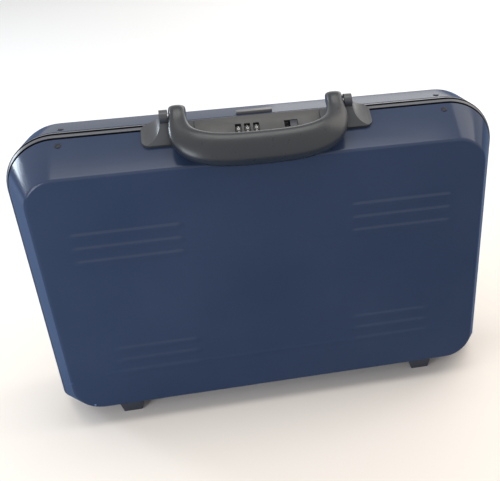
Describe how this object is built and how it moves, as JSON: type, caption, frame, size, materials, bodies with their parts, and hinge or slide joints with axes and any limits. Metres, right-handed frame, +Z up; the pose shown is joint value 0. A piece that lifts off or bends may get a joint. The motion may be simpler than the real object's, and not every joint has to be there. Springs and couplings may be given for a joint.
{
  "type": "laptop hard case",
  "caption": "Hard attache case with pressed metal shells, a long hinge, a combination lock with a sliding catch, and a folding handle.",
  "frame": {"origin": "on the floor under the middle of the closed case's bounding box, handle folded forward", "axes": "+X along the width to the right, +Y from the front shell to the rear shell, +Z up from the feet to the handle"},
  "size_m": [0.4498, 0.115, 0.3273],
  "materials": {
    "shell_paint": "satin",
    "frame_paint": "satin",
    "gasket_rubber": "matte",
    "rivet_metal": "satin",
    "foot_rubber": "matte",
    "lining_cloth": "matte",
    "foam": "matte",
    "webbing": "matte",
    "black_plastic": "satin",
    "grey_plastic": "satin",
    "steel": "satin",
    "button_plastic": "gloss"
  },
  "bodies": {
    "front_half": {"front_shell": "shell_paint", "front_frame": "frame_paint", "frame_gasket": "gasket_rubber", "front_rivets": "rivet_metal", "front_feet": "foot_rubber", "front_lining": "lining_cloth", "laptop_cushion": "foam", "laptop_strap": "webbing", "strap_buckle": "black_plastic", "hinge_leaf_front": "steel", "hinge_pin": "steel", "lock_plate": "grey_plastic", "lock_housing": "steel", "wheel_axle": "steel", "wheel_detent": "steel", "handle_bracket_left": "grey_plastic", "handle_bracket_right": "grey_plastic", "handle_pins": "steel", "stay_brackets_front": "steel"},
    "rear_half": {"rear_shell": "shell_paint", "rear_frame": "frame_paint", "rear_rivets": "rivet_metal", "rear_feet": "foot_rubber", "rear_lining": "lining_cloth", "organiser_panel": "lining_cloth", "organiser_pockets": "foam", "hinge_leaf_rear": "steel", "hasp_tab": "grey_plastic", "hasp_hook": "steel", "stay_brackets_rear": "steel"},
    "handle": {"handle": "grey_plastic"},
    "wheel_1": {"number_wheel_1": "black_plastic"},
    "wheel_2": {"number_wheel_2": "black_plastic"},
    "wheel_3": {"number_wheel_3": "black_plastic"},
    "catch": {"open_button": "button_plastic", "latch_bolt": "steel"},
    "code_lever": {"code_lever": "steel"},
    "stay_lower": {"stay_arm_lower_left": "steel", "stay_arm_lower_right": "steel"},
    "stay_upper": {"stay_arm_upper_left": "steel", "stay_arm_upper_right": "steel"}
  },
  "joints": [
    {"name": "lid_hinge", "type": "hinge", "parent": "front_half", "child": "rear_half", "pos_m": [0, 0.00632, 0.0032], "axis": [-1, 0, 0], "range_deg": [0, 95]},
    {"name": "stay_lower_pivot", "type": "hinge", "parent": "front_half", "child": "stay_lower", "pos_m": [0, -0.00668, 0.0632], "axis": [-1, 0, 0], "range_deg": [0, 95]},
    {"name": "stay_upper_pivot", "type": "hinge", "parent": "rear_half", "child": "stay_upper", "pos_m": [0, 0.01932, 0.0632], "axis": [-1, 0, 0], "range_deg": [-95, 0]},
    {"name": "handle_hinge", "type": "hinge", "parent": "front_half", "child": "handle", "pos_m": [0, -0.00602, 0.31779], "axis": [-1, 0, 0], "range_deg": [0, 115]},
    {"name": "wheel_1_spin", "type": "hinge", "parent": "front_half", "child": "wheel_1", "pos_m": [-0.018, -0.00795, 0.29637], "axis": [1, 0, 0], "continuous": true},
    {"name": "wheel_2_spin", "type": "hinge", "parent": "front_half", "child": "wheel_2", "pos_m": [-0.01, -0.00795, 0.29637], "axis": [1, 0, 0], "continuous": true},
    {"name": "wheel_3_spin", "type": "hinge", "parent": "front_half", "child": "wheel_3", "pos_m": [-0.002, -0.00795, 0.29637], "axis": [1, 0, 0], "continuous": true},
    {"name": "catch_slide", "type": "slide", "parent": "front_half", "child": "catch", "axis": [-1, 0, 0], "range_m": [0, 0.005]},
    {"name": "code_lever_slide", "type": "slide", "parent": "front_half", "child": "code_lever", "axis": [1, 0, 0], "range_m": [0, 0.003]}
  ],
  "couplings": [
    {"joint": "stay_lower_pivot", "follows": "lid_hinge", "ratio": 1},
    {"joint": "stay_upper_pivot", "follows": "lid_hinge", "ratio": -1}
  ]
}
